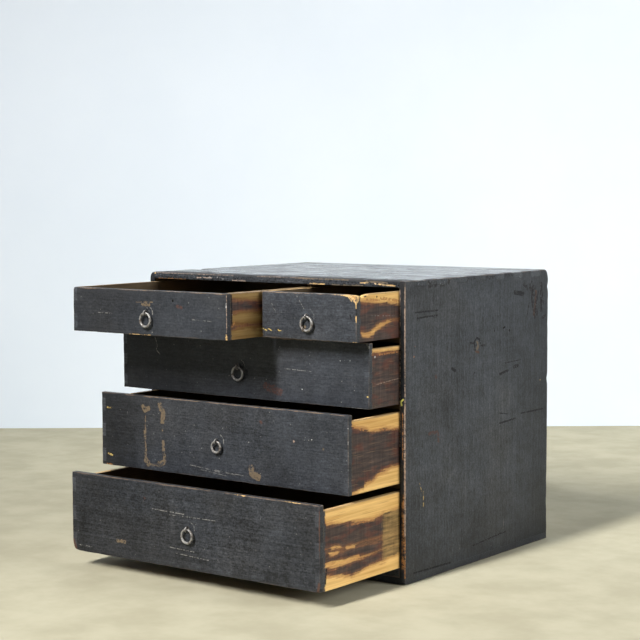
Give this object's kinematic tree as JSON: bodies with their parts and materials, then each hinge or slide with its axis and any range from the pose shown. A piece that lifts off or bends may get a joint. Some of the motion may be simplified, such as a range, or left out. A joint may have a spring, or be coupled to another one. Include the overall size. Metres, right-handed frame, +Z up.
{
  "type": "tansu chest",
  "caption": "Small free-standing tansu chest in worn dark lacquer: sliding cedar drawers, small ones side by side over full-width ones, each with a hanging iron ring pull.",
  "frame": {"origin": "middle of the case's underside, on the surface that the chest stands on", "axes": "+X to the right along the front, +Y from the front into the case (the front faces -Y and the drawers open along -Y), +Z up"},
  "size_m": [0.403, 0.4986, 0.36],
  "materials": {
    "lacquer": "worn satin black lacquer on cedar",
    "cedar": "bare cedar, dark where lacquer has run over it",
    "aged_cedar": "bare cedar darkened with age",
    "peg_wood": "pale split hardwood pegs",
    "iron": "blackened forged iron, lightly rusted"
  },
  "bodies": {
    "case": {"bottom_board": "lacquer", "left_side": "lacquer", "right_side": "lacquer", "top_board": "lacquer", "front_rail": "lacquer", "back_rail": "aged_cedar", "left_runner": "aged_cedar", "right_runner": "aged_cedar", "lower_shelf": "aged_cedar", "middle_shelf": "aged_cedar", "upper_shelf": "aged_cedar", "upright": "aged_cedar", "back_board_lower": "aged_cedar", "back_board_middle": "aged_cedar", "back_board_upper": "aged_cedar", "bottom_pegs": "peg_wood", "back_pegs": "peg_wood"},
    "drawer_1": {"drawer_1_front": "lacquer", "drawer_1_left_side": "cedar", "drawer_1_right_side": "cedar", "drawer_1_back": "cedar", "drawer_1_bottom": "cedar", "drawer_1_pegs": "peg_wood", "drawer_1_eye": "iron"},
    "ring_1": {"drawer_1_ring": "iron"},
    "drawer_2": {"drawer_2_front": "lacquer", "drawer_2_left_side": "cedar", "drawer_2_right_side": "cedar", "drawer_2_back": "cedar", "drawer_2_bottom": "cedar", "drawer_2_pegs": "peg_wood", "drawer_2_eye": "iron"},
    "ring_2": {"drawer_2_ring": "iron"},
    "drawer_3": {"drawer_3_front": "lacquer", "drawer_3_left_side": "cedar", "drawer_3_right_side": "cedar", "drawer_3_back": "cedar", "drawer_3_bottom": "cedar", "drawer_3_pegs": "peg_wood", "drawer_3_eye": "iron"},
    "ring_3": {"drawer_3_ring": "iron"},
    "drawer_4": {"drawer_4_front": "lacquer", "drawer_4_left_side": "cedar", "drawer_4_right_side": "cedar", "drawer_4_back": "cedar", "drawer_4_bottom": "cedar", "drawer_4_pegs": "peg_wood", "drawer_4_eye": "iron"},
    "ring_4": {"drawer_4_ring": "iron"},
    "drawer_5": {"drawer_5_front": "lacquer", "drawer_5_left_side": "cedar", "drawer_5_right_side": "cedar", "drawer_5_back": "cedar", "drawer_5_bottom": "cedar", "drawer_5_pegs": "peg_wood", "drawer_5_eye": "iron"},
    "ring_5": {"drawer_5_ring": "iron"}
  },
  "joints": [
    {"name": "drawer_1_slide", "type": "slide", "parent": "case", "child": "drawer_1", "axis": [0, -1, 0], "range_m": [-0.148, 0.118]},
    {"name": "drawer_1_ring_swing", "type": "hinge", "parent": "drawer_1", "child": "ring_1", "pos_m": [-0.06897, -0.3198, 0.32085], "axis": [-1, 0, 0], "range_deg": [-6, 170]},
    {"name": "drawer_2_slide", "type": "slide", "parent": "case", "child": "drawer_2", "axis": [0, -1, 0], "range_m": [-0.085, 0.181]},
    {"name": "drawer_2_ring_swing", "type": "hinge", "parent": "drawer_2", "child": "ring_2", "pos_m": [0.12448, -0.2568, 0.32085], "axis": [-1, 0, 0], "range_deg": [-6, 170]},
    {"name": "drawer_3_slide", "type": "slide", "parent": "case", "child": "drawer_3", "axis": [0, -1, 0], "range_m": [-0.0605, 0.2055]},
    {"name": "drawer_3_ring_swing", "type": "hinge", "parent": "drawer_3", "child": "ring_3", "pos_m": [0, -0.2323, 0.25335], "axis": [-1, 0, 0], "range_deg": [-6, 170]},
    {"name": "drawer_4_slide", "type": "slide", "parent": "case", "child": "drawer_4", "axis": [0, -1, 0], "range_m": [-0.101, 0.165]},
    {"name": "drawer_4_ring_swing", "type": "hinge", "parent": "drawer_4", "child": "ring_4", "pos_m": [0, -0.2728, 0.16695], "axis": [-1, 0, 0], "range_deg": [-6, 170]},
    {"name": "drawer_5_slide", "type": "slide", "parent": "case", "child": "drawer_5", "axis": [0, -1, 0], "range_m": [-0.155, 0.111]},
    {"name": "drawer_5_ring_swing", "type": "hinge", "parent": "drawer_5", "child": "ring_5", "pos_m": [0, -0.3268, 0.0695], "axis": [-1, 0, 0], "range_deg": [-6, 170]}
  ]
}
